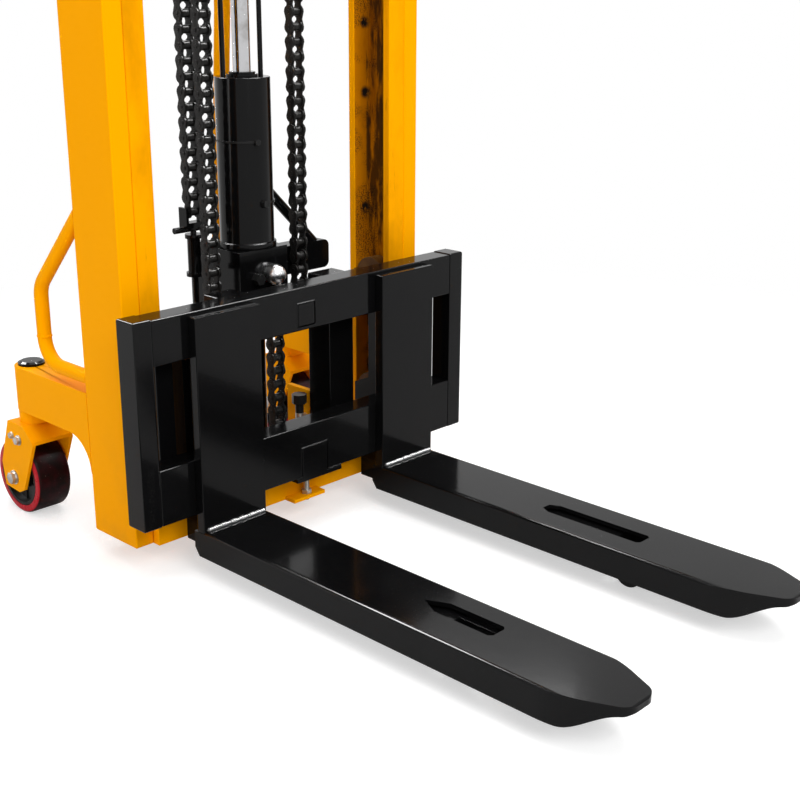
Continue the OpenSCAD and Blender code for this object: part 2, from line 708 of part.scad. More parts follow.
// Chain over a pulley: one whole link, and a plate each side that stops clear of the strand
wrap_stub = (pulley_r - chain_plate_h / 2 - gap) / pulley_r;
function on_wrap(a) = [jack_y + pulley_r * cos(a), pulley_z + pulley_r * sin(a)];
function strip(a, b) =
    let (d = (b - a) / norm(b - a), n = [-d[1], d[0]] * chain_plate_h * 0.36)
    [a + n, b + n, b - n, a - n];
module wrap(x) {
    ends = [on_wrap(60), on_wrap(120)];
    for (p = ends) chain_pin(p[0], p[1], x);
    for (s = [-1, 1]) {
        inner = x + s * (chain_roller_w + chain_plate_t) / 2 - chain_plate_t / 2;
        outer = inner + s * chain_plate_t;
        for (p = ends, low = [inner, outer]) bar_x([low, p[0], p[1]], chain_plate_h, chain_plate_t);
        slab_x(outer, chain_plate_t, strip(ends[0], ends[1]));
        slab_x(inner, chain_plate_t, strip(ends[0], ends[0] + wrap_stub * (on_wrap(0) - ends[0])));
        slab_x(inner, chain_plate_t, strip(ends[1], ends[1] + wrap_stub * (on_wrap(180) - ends[1])));
    }
}
module chain_wraps() color(black) seat() for (s = [-1, 1]) wrap(s * chain_x);

// Strands hang from their pulleys in whole links, so each lower end lies near its target
function links(target) = round((pulley_z - target) / chain_pitch);
hook_links = links(hook_z);
left_links = links(left_anchor_z);
right_links = links(tie_z + tie_h - 8);
hook_at = pulley_z - hook_links * chain_pitch;
left_at = pulley_z - left_links * chain_pitch;
right_at = pulley_z - right_links * chain_pitch;
module front_chains() color(black) seat() for (s = [-1, 1])
    strand(s * chain_x, chain_front_y, hook_at, hook_links);
module rear_chain(x, z, count) color(black) seat() strand(x, chain_back_y, z, count);
rod_d = 12;
sleeve = [left_at - 128, 84];
clevis_floor = left_at - 30;
module clevis(x, z, back) {
    lugs(x, [chain_back_y - 12, z - 24], [back, z + 10]);
    block([x - lug_x - lug_t / 2, chain_back_y - 12, z - 30], [x + lug_x + lug_t / 2, back, z - 20]);
}
module chain_anchors() {
    color(black) seat() {
        clevis(-chain_x, left_at, chain_back_y + 12);
        bar_x([-chain_x - 46, chain_back_y, clevis_floor - rod_d / 4], rod_d, 60);
        bar_z([-chain_x, chain_back_y, sleeve[0]], 26, sleeve[1]);
        for (z = [sleeve[0], sleeve[0] + sleeve[1] - 8]) bar_z([-chain_x, chain_back_y, z], 34, 8);
        clevis(chain_x, right_at, tie_y);
    }
    color(rust) seat() bar_z([-chain_x, chain_back_y, base_top], rod_d, clevis_floor - base_top);
}
module tie_chain() color(black) seat() strand(0, tie_chain_y, tie_chain_z, tie_chain_links);

// Carriage
beam_half = carriage_w / 2 - end_post_w;
patch_t = 2;
module end_post(side) color(black) seat() mirrored(side)
    block([beam_half, shank_t, lower_beam_z - 2], [carriage_w / 2, beam_back, upper_beam_top + 2]);
module upper_beam() color(black) seat() {
    tube_x(
        [-beam_half, shank_t, upper_beam_top - upper_beam_h],
        [beam_half, beam_back, upper_beam_top], beam_wall
    );
    block([-50, shank_t - patch_t, upper_beam_top - 76], [-6, shank_t, upper_beam_top - 30]);
}
module lower_beam() color(black) seat() {
    tube_x(
        [-beam_half, shank_t, lower_beam_z],
        [beam_half, beam_back, lower_beam_z + lower_beam_h], beam_wall
    );
    block([-46, shank_t - patch_t, lower_beam_z - 8], [22, shank_t, lower_beam_z + 62]);
    block([-60, shank_t - patch_t, lower_beam_z - 10], [60, beam_back - 8, lower_beam_z]);
}
heel_gap = 0.5;
module fork_shank(side) color(black) seat() mirrored(side) {
    block([fork_x - fork_w / 2, 0, fork_top], [fork_x + fork_w / 2, shank_t, shank_top]);
    block(
        [fork_x - fork_w / 2, heel_gap, fork_top - blade_edge_r],
        [fork_x + fork_w / 2, shank_t, fork_top + over]
    );
}
module blade_section() {
    translate([-fork_w / 2, fork_top - blade_h]) square([fork_w, blade_h - blade_edge_r]);
    translate([-fork_w / 2 + blade_edge_r, fork_top - blade_h]) square([fork_w - 2 * blade_edge_r, blade_h]);
    for (s = [-1, 1])
        translate([s * (fork_w / 2 - blade_edge_r), fork_top - blade_edge_r]) circle(r = blade_edge_r);
}
slot_r = 6;
slot_shift_left = 11;
slot_shift_right = -2;
module slot_outline(len, pointed) {
    cut = pointed ? slot_w / 2 : slot_w / 4;
    back = pointed ? slot_w : slot_w / 2;
    polygon([
        [-slot_w / 2 + slot_r, 0], [slot_w / 2 - slot_r, 0], [slot_w / 2, slot_r], [slot_w / 2, len - back],
        [slot_w / 2 - cut, len], [cut - slot_w / 2, len], [-slot_w / 2, len - back], [-slot_w / 2, slot_r]
    ]);
}
module fork_blade(side) color(black) seat() translate([side * fork_x, 0, 0]) {
    slot_len = side < 0 ? slot_len_left : slot_len_right;
    slot_end = side < 0 ? slot_end_left : slot_end_right;
    difference() {
        intersection() {
            translate([0, heel_len, 0]) rotate([90, 0, 0])
                linear_extrude(heel_len + fork_len) blade_section();
            slab_x(-fork_w / 2, fork_w, blade_side());
            translate([0, 0, fork_top - blade_h - over])
                linear_extrude(blade_h + 2 * over) polygon(blade_outline());
        }
        block(
            [-fork_w / 2 + blade_side_t, -(fork_len - nose_len) + 40, fork_top - blade_h - over],
            [fork_w / 2 - blade_side_t, heel_len + over, fork_top - blade_top_t]
        );
        translate([side < 0 ? slot_shift_left : slot_shift_right, -slot_end, fork_top - blade_top_t - over])
            linear_extrude(blade_top_t + 2 * over) slot_outline(slot_len, side < 0);
        block([-fork_w, 0, fork_top - blade_edge_r], [fork_w, heel_len + over, fork_top + over]);
    }
}
plate_mid = 155;
plate_top = upper_roller_z + 0.65 * roller_pin_d;
plate_back = roller_y + 20;
module roller_plate(side) color(black) seat() mirrored(side) {
    slab_x(plate_x - roller_plate_t, roller_plate_t, [
        [beam_back, lower_beam_z], [beam_back, plate_top], [plate_back, plate_top],
        [plate_back, upper_roller_z - roller_pin_d], [plate_mid, upper_roller_z - 2 * roller_pin_d],
        [plate_mid, lower_roller_z + 1.4 * roller_pin_d], [plate_back, lower_roller_z + 0.8 * roller_pin_d],
        [plate_back, lower_beam_z]
    ]);
    for (z = [lower_roller_z, upper_roller_z])
        bar_x([plate_x - over, roller_y, z], roller_pin_d, web_x - plate_x - 3);
}
module carriage_roller(side, z) color(steel) seat() mirrored(side) difference() {
    bar_x([channel_x + 3, roller_y, z], 2 * roller_r, web_x - channel_x - 6);
    bar_x([channel_x, roller_y, z], roller_pin_d + 2 * fit, web_x - channel_x);
}
post_low = lower_beam_z + 12;
post_high = upper_beam_top - 14;
post_block = [52, 50];
guide_bar_x = plate_x + 22;
guide_bar_w = 37;
guide_bar_t = 8;
module box_posts() color(black) seat() for (s = [-1, 1]) mirrored(s) {
    block(
        [post_x - box_post_w / 2, post_y, post_low],
        [post_x + box_post_w / 2, post_y + box_post_d, post_high]
    );
    for (z = [post_low + 4, post_high - post_block[1] - 6]) block(
        [post_x - post_block[0] / 2, beam_back, z], [post_x + post_block[0] / 2, post_y, z + post_block[1]]
    );
    block(
        [guide_bar_x, beam_back, post_low],
        [guide_bar_x + guide_bar_w, beam_back + guide_bar_t, post_high]
    );
}
module chain_hooks() color(black) seat() for (s = [-1, 1])
    lugs(s * chain_x, [post_y + box_post_d, hook_at - 22], [chain_front_y + 12, hook_at + 12]);

// Tiller, plunger and release lever
tiller_lean = 4.5;
tiller_back = 15;
tiller_knee = 480;
knee_r = 160;
knee = [-tiller_knee * sin(tiller_lean), tiller_knee * cos(tiller_lean)];
knee_centre = knee + knee_r * [cos(tiller_lean), sin(tiller_lean)];
neck = knee_centre - knee_r * [cos(tiller_back), -sin(tiller_back)];
loop_h = 116;
loop_d = 24;
loop_bend = 30;
neck_len = (tiller_top - tiller_pivot_z - neck[1]) / cos(tiller_back) - loop_h;
boss_d = 36;
tongue_gap = 2.5;
tongue_w = 28;
plunger_top = tiller_pivot_z - boss_d / 2 - tongue_gap;
plunger_low = lug_z + plunger_stroke + 24;
lever_pin_d = 6;
lever_pin = [0, 27, neck_len - 22];
lap = 0.5;
// Frame of the handle: its origin is where the straight neck starts, its Z runs along the neck
module at_neck() translate([tiller_x, tiller_y + neck[0], tiller_pivot_z + neck[1]])
    rotate([-tiller_back, 0, 0]) children();
module handle_loop() translate([0, 0, neck_len]) {
    w = handle_w / 2 - loop_d / 2;
    low = loop_d / 2;
    high = loop_h - loop_d / 2;
    for (z = [low, high]) bar_x([-w + loop_bend, 0, z], loop_d, 2 * (w - loop_bend));
    for (s = [-1, 1]) {
        bar_z([s * w, 0, low + loop_bend], loop_d, high - low - 2 * loop_bend);
        for (t = [0, 1]) translate([s * (w - loop_bend), 0, t ? high - loop_bend : low + loop_bend])
            rotate([90, 0, 0]) rotate([0, 0, s > 0 ? (t ? 0 : -90) : (t ? 90 : 180)])
                rotate_extrude(angle = 90) translate([loop_bend, 0]) circle(d = loop_d - step);
    }
}
lever_lug_x = 11;
lever_lug_t = 6;
lever_lug_h = 24;
lever_lug_back = 7;
lever_pin_len = 32;
lever_w = 14;
lever_t = 10;
lever_reach = 66;
squeeze_w = 68;
squeeze_h = 14;
squeeze_front = 3;
squeeze_back = 4;
module tiller() color(yellow) seat() {
    translate([tiller_x, tiller_y, tiller_pivot_z]) difference() {
        union() {
            bar_x([-ear_out + ear_t + 0.5, 0, 0], boss_d, 2 * (ear_out - ear_t) - 1);
            rotate([tiller_lean, 0, 0]) cylinder(d = tiller_d, h = tiller_knee + lap);
            block([-tongue_w / 2, 0, -boss_d / 2], [tongue_w / 2, plunger_arm, 2]);
            bar_x([-tongue_w / 2, plunger_arm, 2 - boss_d / 4 - 1], boss_d / 2 + 2, tongue_w);
        }
        bar_x([-ear_out, 0, 0], tiller_pin_d + 2 * fit, 2 * ear_out);
    }
    translate([tiller_x, tiller_y, tiller_pivot_z])
        arc_yz(knee_centre, knee_r, tiller_d, 180 - tiller_back, 180 + tiller_lean);
    at_neck() difference() {
        union() {
            translate([0, 0, -lap]) cylinder(d = tiller_d, h = neck_len + lap);
            for (s = [-1, 1]) translate(lever_pin) block(
                [s * lever_lug_x - lever_lug_t / 2, -lever_pin[1], -lever_lug_h / 2],
                [s * lever_lug_x + lever_lug_t / 2, lever_lug_back, lever_lug_h / 2]
            );
        }
        bar_x(lever_pin - [lever_pin_len, 0, 0], lever_pin_d + 2 * fit, 2 * lever_pin_len);
    }
}
module tiller_handle() color(yellow) seat() at_neck() {
    translate([0, 0, neck_len]) cylinder(d = tiller_d, h = loop_d / 2);
    handle_loop();
}
module pump_plunger() color(steel) seat()
    bar_z([tiller_x, tiller_y + plunger_arm, plunger_low], plunger_d, plunger_top - plunger_low);
module release_lever() color(black) seat() at_neck() translate(lever_pin) {
    bar_x([-lever_pin_len / 2, 0, 0], lever_pin_d, lever_pin_len);
    block(
        [-lever_w / 2, -lever_t / 2, -lever_t / 2],
        [lever_w / 2, lever_t / 2, lever_reach + squeeze_back / 2]
    );
    block(
        [-squeeze_w / 2, -squeeze_front, lever_reach],
        [squeeze_w / 2, squeeze_back, lever_reach + squeeze_h]
    );
}

mast_box(-1);  // mast_box_left
mast_box(1);  // mast_box_right
mast_channel(-1);  // mast_channel_left
mast_channel(1);  // mast_channel_right
mast_top_plate();
mast_cross_tie();
base_frame();
support_leg(-1);  // support_leg_left
support_leg(1);  // support_leg_right
caster_arm(-1);  // caster_arm_left
caster_arm(1);  // caster_arm_right
swivel_caps();
guard_tube_left();
lift_cylinder();
oil_jacket();
ram_gland();
fittings();
pump_block();
pump_strut();
guide_rods();
chain_anchors();
tie_chain();
load_axles();
load_wheel(-1);  // load_wheel_left
load_wheel(1);  // load_wheel_right
end_post(-1);  // end_post_left
end_post(1);  // end_post_right
upper_beam();
lower_beam();
fork_shank(-1);  // fork_shank_left
fork_shank(1);  // fork_shank_right
fork_blade(-1);  // fork_blade_left
fork_blade(1);  // fork_blade_right
roller_plate(-1);  // roller_plate_left
roller_plate(1);  // roller_plate_right
box_posts();
chain_hooks();
carriage_roller(-1, lower_roller_z);  // roller_lower_left
carriage_roller(1, lower_roller_z);  // roller_lower_right
carriage_roller(-1, upper_roller_z);  // roller_upper_left
carriage_roller(1, upper_roller_z);  // roller_upper_right
front_chains();
ram_rod();
crosshead();
chain_pulleys();
chain_wraps();
rear_chain(-chain_x, left_at, left_links);  // rear_chain_left
rear_chain(chain_x, right_at, right_links);  // rear_chain_right
caster_fork(-1);  // caster_fork_left
caster_fork(1);  // caster_fork_right
caster_axle(-1);  // caster_axle_left
caster_axle(1);  // caster_axle_right
caster_hub(-1);  // caster_hub_left
caster_hub(1);  // caster_hub_right
caster_tyre(-1);  // caster_tyre_left
caster_tyre(1);  // caster_tyre_right
tiller();
tiller_handle();
pump_plunger();
release_lever();
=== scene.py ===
import math

import bmesh
import bpy
from mathutils import Matrix, Vector


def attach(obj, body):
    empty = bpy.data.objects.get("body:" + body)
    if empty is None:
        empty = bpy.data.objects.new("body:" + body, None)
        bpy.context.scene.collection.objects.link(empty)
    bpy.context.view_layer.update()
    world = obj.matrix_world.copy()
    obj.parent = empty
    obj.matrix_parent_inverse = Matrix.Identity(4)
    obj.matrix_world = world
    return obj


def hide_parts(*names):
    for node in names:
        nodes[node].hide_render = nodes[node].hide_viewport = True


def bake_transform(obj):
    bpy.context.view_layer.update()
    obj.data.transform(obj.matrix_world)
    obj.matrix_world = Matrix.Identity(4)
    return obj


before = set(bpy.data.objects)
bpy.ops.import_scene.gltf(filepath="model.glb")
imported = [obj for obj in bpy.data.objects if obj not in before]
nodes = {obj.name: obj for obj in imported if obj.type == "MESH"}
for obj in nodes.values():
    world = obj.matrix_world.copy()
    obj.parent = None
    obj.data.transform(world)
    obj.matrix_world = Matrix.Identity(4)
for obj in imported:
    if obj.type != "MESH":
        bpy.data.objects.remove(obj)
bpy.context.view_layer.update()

faceY = 0.153   # the forks' upright face, behind the middle of the machine
print("frame loaded:", len(nodes), "nodes")


class Wire:
    # One output socket that takes Python's operators
    def __init__(self, tree, socket=None):
        self.tree = tree
        self.socket = socket

    def put(self, kind, settings=None, out=0, **values):
        # Adds a node. A socket goes by its name, or by its number, as in n0
        node = self.tree.nodes.new(kind)
        for key, value in (settings or {}).items():
            setattr(node, key, value)
        for key, value in values.items():
            numbered = key[0] == "n" and key[1:].isdigit()
            feed(node.inputs[int(key[1:]) if numbered else key.replace("_", " ")], value)
        return Wire(self.tree, node.outputs[out])

    def calc(self, operation, left, right=None):
        values = {"n0": left}
        if right is not None:
            values["n1"] = right
        return self.put("ShaderNodeMath", {"operation": operation}, **values)

    def __add__(self, other): return self.calc("ADD", self, other)
    def __radd__(self, other): return self.calc("ADD", other, self)
    def __sub__(self, other): return self.calc("SUBTRACT", self, other)
    def __rsub__(self, other): return self.calc("SUBTRACT", other, self)
    def __mul__(self, other): return self.calc("MULTIPLY", self, other)
    def __pow__(self, other): return self.calc("POWER", self, other)
    def __abs__(self): return self.calc("ABSOLUTE", self)

    def over(self, edge): return self.calc("GREATER_THAN", self, edge)
    def under(self, edge): return self.calc("LESS_THAN", self, edge)

    def ramp(self, low, high, fromValue=0.0, toValue=1.0):
        return self.put("ShaderNodeMapRange", {"interpolation_type": "SMOOTHSTEP"}, Value=self,
                        From_Min=low, From_Max=high, To_Min=fromValue, To_Max=toValue)

    def blendTo(self, first, second):
        # Colour mix with this wire as the factor
        return self.put("ShaderNodeMix", {"data_type": "RGBA"}, out=2, n0=self, n6=first, n7=second)


def feed(target, value):
    # Links a wire to a socket, or sets the socket to a plain value
    if isinstance(value, Wire):
        value.tree.links.new(value.socket, target)
    else:
        target.default_value = value


class Finish:
    # A material being put together, with its object coordinates at hand
    def __init__(self, name):
        self.made = bpy.data.materials.new(name)
        self.made.use_nodes = True
        self.tree = self.made.node_tree
        self.shader = self.tree.nodes["Principled BSDF"]
        self.wire = Wire(self.tree)
        coords = self.tree.nodes.new("ShaderNodeTexCoord")
        self.place = Wire(self.tree, coords.outputs["Object"])
        parts = self.tree.nodes.new("ShaderNodeSeparateXYZ")
        self.tree.links.new(self.place.socket, parts.inputs[0])
        self.x, self.y, self.z = (Wire(self.tree, s) for s in parts.outputs)

    def noise(self, scale, detail=3.0, roughness=0.55, stretch=None):
        vector = self.place
        if stretch:
            vector = self.wire.put("ShaderNodeMapping", Vector=self.place, Scale=stretch)
        return self.wire.put("ShaderNodeTexNoise", Vector=vector, Scale=scale, Detail=detail,
                             Roughness=roughness)

    def near(self, point, radius):
        # 1 at a point, 0 beyond the radius
        spot = self.wire.put("ShaderNodeVectorMath", {"operation": "DISTANCE"}, out=1,
                             n0=self.place, n1=point)
        return spot.ramp(radius * 0.35, radius, 1.0, 0.0)

    def fromAxle(self):
        # distance from the rear wheels' axle line, which both wheels share at rest
        across = self.y - wheel["y"]
        up = self.z - wheel["radius"]
        return (across * across + up * up) ** 0.5

    def set(self, **values):
        for key, value in values.items():
            feed(self.shader.inputs[key.replace("_", " ")], value)
        return self

    def bump(self, height, strength, distance):
        normal = self.wire.put("ShaderNodeBump", Height=height, Strength=strength, Distance=distance)
        return self.set(Normal=normal)


def rgb(r, g, b):
    return (r, g, b, 1.0)


yellowPaint = {"face": rgb(1.0, 0.398, 0.0), "deep": rgb(0.94, 0.350, 0.0), "scuff": rgb(0.10, 0.05, 0.02),
               "dust": rgb(0.33, 0.18, 0.04), "sheen": rgb(1.0, 0.62, 0.06), "specular": 0.018,
               "roughness": 0.33, "peel": 260.0, "grime": 0.35}

# Inner faces of the roller channels, and the corner where their web and flange meet; the film colour darkens
# those inner faces brown, as grease film and painted shade together
track = {"web": 0.3365, "front": 0.2885, "back": 0.3735, "corner": 0.3355,
         "film": rgb(0.34, 0.095, 0.001), "stain": rgb(0.15, 0.040, 0.002), "streak": rgb(0.05, 0.02, 0.006),
         "cornerDark": rgb(0.016, 0.010, 0.006), "speck": rgb(0.018, 0.012, 0.008),
         "clot": rgb(0.012, 0.010, 0.008)}
# Clots of grease in the channels: middle and radius
clots = [
    ((0.3270, 0.373, 0.982), 0.017), ((0.3290, 0.373, 0.8395), 0.017), ((0.3276, 0.373, 0.5946), 0.018),
    ((-0.3270, 0.373, 1.240), 0.018), ((-0.3280, 0.373, 0.920), 0.017)
]


def greaseTrack(made, colour, rough):
    # the greasy roller track over the yellow, with painted shade darkening the channels' inner faces
    depth = abs(made.x)
    inner = depth.under(track["web"]) * made.y.over(track["front"]) * made.y.under(track["back"])
    # painted shade and grease film: the inner faces blend most of the way to dark brown
    colour = (inner * 0.72).blendTo(colour, track["film"])
    cloud = made.noise(5.0, 5.0, 0.65, stretch=(1.0, 3.0, 0.45))
    stain = cloud.ramp(0.42, 0.70) * (0.35 + inner * 0.5)
    colour = stain.blendTo(colour, track["stain"])
    streak = made.noise(16.0, 6.0, 0.7, stretch=(1.0, 1.0, 0.14)).ramp(0.60, 0.70)
    colour = (streak * 0.6).blendTo(colour, track["streak"])
    # darker patches along the inner corner where web and flange meet
    corner = abs(depth - track["corner"]).ramp(0.0005, 0.0050, 1.0, 0.0) * inner
    cornerDark = corner * made.noise(40.0, 4.0, 0.7, stretch=(1.0, 1.0, 0.2)).ramp(0.42, 0.58) * 0.85
    colour = cornerDark.blendTo(colour, track["cornerDark"])
    speck = made.noise(330.0, 3.0, 0.7).ramp(0.50, 0.56) * made.noise(9.0, 3.0).ramp(0.50, 0.60) * inner
    colour = (speck * 0.85).blendTo(colour, track["speck"])
    for point, radius in clots:
        clot = made.near(point, radius) * made.noise(60.0, 4.0, 0.7).ramp(0.34, 0.52)
        colour = clot.blendTo(colour, track["clot"])
    return colour, rough + stain * 0.12


def makeYellow(name, greasy=False):
    made = Finish(name)
    cloud = made.noise(2.6, 3.0)
    fine = made.noise(38.0, 4.0)
    low = made.z.ramp(0.02, 0.34, 1.0, 0.0)
    colour = (cloud * 0.5 + low * 0.25).blendTo(yellowPaint["face"], yellowPaint["deep"])
    nicks = made.noise(75.0, 5.0, 0.7).ramp(0.70, 0.76) * made.noise(6.0, 2.0).ramp(0.52, 0.66)
    colour = (nicks * yellowPaint["grime"]).blendTo(colour, yellowPaint["scuff"])
    dust = made.noise(11.0, 5.0).ramp(0.50, 0.75) * low * 0.14
    colour = dust.blendTo(colour, yellowPaint["dust"])
    rough = yellowPaint["roughness"] + fine * 0.10 + dust * 0.4
    if greasy:
        colour, rough = greaseTrack(made, colour, rough)
    made.set(Base_Color=colour, Roughness=rough, Specular_IOR_Level=yellowPaint["specular"],
             Specular_Tint=yellowPaint["sheen"])
    peel = made.noise(yellowPaint["peel"], 2.0)
    return made.bump(peel * 0.6 + fine * 0.4, 0.06, 0.0006)


blackPaint = {"face": rgb(0.0028, 0.0028, 0.0030), "dust": rgb(0.12, 0.12, 0.115), "specular": 0.14,
              "coatRoughness": 0.04, "peel": 300.0}
# Rough patch of weld along the left end post
postWeld = {"x": -0.407, "reach": (0.003, 0.011), "top": (0.225, 0.240), "foot": (0.120, 0.135),
            "flake": rgb(0.16, 0.15, 0.13)}


def makeBlack(name, roughness, coat, dusty, weldPatch=None):
    made = Finish(name)
    cloud = made.noise(5.0, 3.0)
    fine = made.noise(60.0, 5.0, 0.65)
    specks = made.noise(420.0, 2.0, 0.6).ramp(0.70, 0.78) * made.noise(9.0, 3.0).ramp(0.45, 0.62)
    scratches = made.noise(26.0, 5.0, 0.75, stretch=(6.0, 0.35, 6.0)).ramp(0.69, 0.74)
    film = made.noise(3.5, 4.0).ramp(0.42, 0.80) * dusty
    dust = specks * dusty * 0.8 + film * 0.10 + scratches * dusty * 0.12
    colour = dust.blendTo(blackPaint["face"], blackPaint["dust"])
    rough = roughness + cloud * 0.05 + film * 0.10 + scratches * 0.10
    peel = made.noise(blackPaint["peel"], 1.0) * 0.5 + made.noise(70.0, 1.0)
    if weldPatch:
        band = abs(made.x - weldPatch["x"]).ramp(*weldPatch["reach"], 1.0, 0.0)
        band = band * made.z.ramp(*weldPatch["top"], 1.0, 0.0) * made.z.ramp(*weldPatch["foot"])
        flake = made.noise(330.0, 5.0, 0.8).ramp(0.54, 0.66) * band
        colour = (flake * 0.06).blendTo(colour, weldPatch["flake"])
        rough = rough + band * 0.06
        peel = peel + band * made.noise(90.0, 6.0, 0.8) * 9.0
    made.set(Base_Color=colour, Roughness=rough, IOR=1.45, Coat_Weight=coat,
             Coat_Roughness=blackPaint["coatRoughness"], Specular_IOR_Level=blackPaint["specular"])
    return made.bump(peel + fine * 0.15, 0.045, 0.0012)


steelLook = {"rust": rgb(0.14, 0.05, 0.018), "darker": 0.55}


def makeSteel(name, colour, roughness, rust):
    made = Finish(name)
    fine = made.noise(300.0, 4.0, 0.6)
    blotch = made.noise(34.0, 5.0, 0.65).ramp(0.46, 0.72)
    dull = rgb(*[c * steelLook["darker"] for c in colour])
    tone = (fine * 0.5 + blotch * 0.5).blendTo(rgb(*colour), dull)
    stain = made.noise(55.0, 5.0, 0.7).ramp(0.60, 0.72) * rust
    tone = stain.blendTo(tone, steelLook["rust"])
    made.set(Base_Color=tone, Metallic=1.0 - stain, Roughness=roughness + fine * 0.12 + stain * 0.35)
    return made.bump(fine + blotch * 0.6, 0.12, 0.0005)


oilLook = {"thin": rgb(0.012, 0.0115, 0.011), "thick": rgb(0.005, 0.0046, 0.0042),
           "worn": rgb(0.09, 0.08, 0.07), "specular": 0.13}


def makeOiled(name):
    # blackened chain steel with oil and dust in it
    made = Finish(name)
    fine = made.noise(260.0, 4.0, 0.6)
    blotch = made.noise(48.0, 4.0, 0.6).ramp(0.42, 0.66)
    tone = blotch.blendTo(oilLook["thin"], oilLook["thick"])
    bare = made.noise(90.0, 4.0, 0.7).ramp(0.64, 0.74)
    tone = (bare * 0.5).blendTo(tone, oilLook["worn"])
    made.set(Base_Color=tone, Metallic=bare * 0.4, Roughness=0.22 + fine * 0.12 + blotch * 0.08,
             Specular_IOR_Level=oilLook["specular"])
    return made.bump(fine + blotch * 0.5, 0.15, 0.0006)


fittingLook = {"boltTop": 0.19, "paint": rgb(0.008, 0.008, 0.008), "paintPale": rgb(0.014, 0.014, 0.014),
               "bolt": rgb(0.62, 0.60, 0.56), "boltDull": rgb(0.40, 0.38, 0.35)}


def makeFitting(name):
    # black fittings, with a bare bolt at the bottom
    made = makeBlack(name, 0.24, 0.05, 0.20)
    bare = made.z.under(fittingLook["boltTop"])
    fine = made.noise(300.0, 4.0)
    dark = fine.blendTo(fittingLook["paint"], fittingLook["paintPale"])
    bright = fine.blendTo(fittingLook["bolt"], fittingLook["boltDull"])
    return made.set(Base_Color=bare.blendTo(dark, bright), Metallic=bare * 0.8)


chromeLook = {"clean": rgb(0.56, 0.56, 0.57), "oily": rgb(0.34, 0.33, 0.32), "roughness": 0.10}


def makeChrome(name):
    made = Finish(name)
    streak = made.noise(14.0, 4.0, 0.6, stretch=(6.0, 6.0, 0.25))
    film = made.noise(22.0, 4.0).ramp(0.40, 0.75)
    tone = film.blendTo(chromeLook["clean"], chromeLook["oily"])
    made.set(Base_Color=tone, Metallic=1.0, Roughness=chromeLook["roughness"] + streak * 0.08 + film * 0.05)
    return made.bump(streak, 0.03, 0.0004)


# Rear wheels: a cast hub in a tyre, spun about the axle
wheel = {"radius": 0.080, "half": 0.038, "rim": 0.064, "x": 0.347, "y": 0.529 + faceY, "shoulder": 0.007}
treadLook = {"edge": (0.0785, 0.0765), "side": (0.0270, 0.0300), "worn": rgb(0.022, 0.0012, 0.003),
             "dark": rgb(0.003, 0.0014, 0.0014), "red": rgb(0.52, 0.010, 0.022),
             "redDeep": rgb(0.34, 0.008, 0.016), "grit": rgb(0.20, 0.18, 0.16), "specular": 0.12}


def makeTread(name):
    # dark worn running face, bright red shoulders
    made = Finish(name)
    shoulder = made.fromAxle().ramp(*treadLook["edge"])
    ring = shoulder * abs(abs(made.x) - wheel["x"]).ramp(*treadLook["side"])
    worn = made.noise(40.0, 5.0, 0.65).ramp(0.35, 0.65)
    dark = worn.blendTo(treadLook["worn"], treadLook["dark"])
    bright = made.noise(24.0, 3.0).blendTo(treadLook["red"], treadLook["redDeep"])
    colour = ring.blendTo(dark, bright)
    grit = made.noise(180.0, 3.0, 0.7).ramp(0.66, 0.76) * (1.0 - ring)
    colour = (grit * 0.5).blendTo(colour, treadLook["grit"])
    made.set(Base_Color=colour, Roughness=0.30 + worn * 0.16 - ring * 0.08,
             Specular_IOR_Level=treadLook["specular"])
    return made.bump(worn + grit, 0.12, 0.0007)


def makeRubber(name, colour, other, roughness, specular=0.14):
    made = Finish(name)
    blotch = made.noise(30.0, 4.0, 0.6)
    grit = made.noise(220.0, 3.0, 0.7)
    tone = blotch.blendTo(rgb(*colour), rgb(*other))
    made.set(Base_Color=tone, Roughness=roughness + grit * 0.15, Specular_IOR_Level=specular)
    return made.bump(grit + blotch, 0.2, 0.0006)


finishes = {
    "yellow": makeYellow("mastYellow"),
    "track": makeYellow("trackYellow", greasy=True),
    "gloss": makeBlack("forkBlack", 0.10, 0.05, 0.22),
    "post": makeBlack("postBlack", 0.10, 0.05, 0.22, weldPatch=postWeld),
    "jack": makeBlack("jackBlack", 0.09, 0.04, 0.10),
    "chain": makeOiled("chainOil"),
    "steel": makeSteel("bareSteel", (0.50, 0.50, 0.51), 0.28, 0.25),
    "bead": makeSteel("weldBead", (0.13, 0.13, 0.13), 0.25, 0.03),
    "fitting": makeFitting("fittingParts"),
    "dome": makeSteel("domeSteel", (0.72, 0.72, 0.73), 0.22, 0.02),
    "chrome": makeChrome("ramChrome"),
    "tread": makeTread("treadRed"),
    "hub": makeRubber("hubBlack", (0.003, 0.003, 0.003), (0.006, 0.006, 0.006), 0.28),
    "roller": makeRubber("loadRoller", (0.018, 0.018, 0.018), (0.03, 0.029, 0.028), 0.5),
    "greased": makeRubber("greasedRoller", (0.11, 0.040, 0.003), (0.025, 0.011, 0.003), 0.42),
}
print("finishes made:", len(finishes))

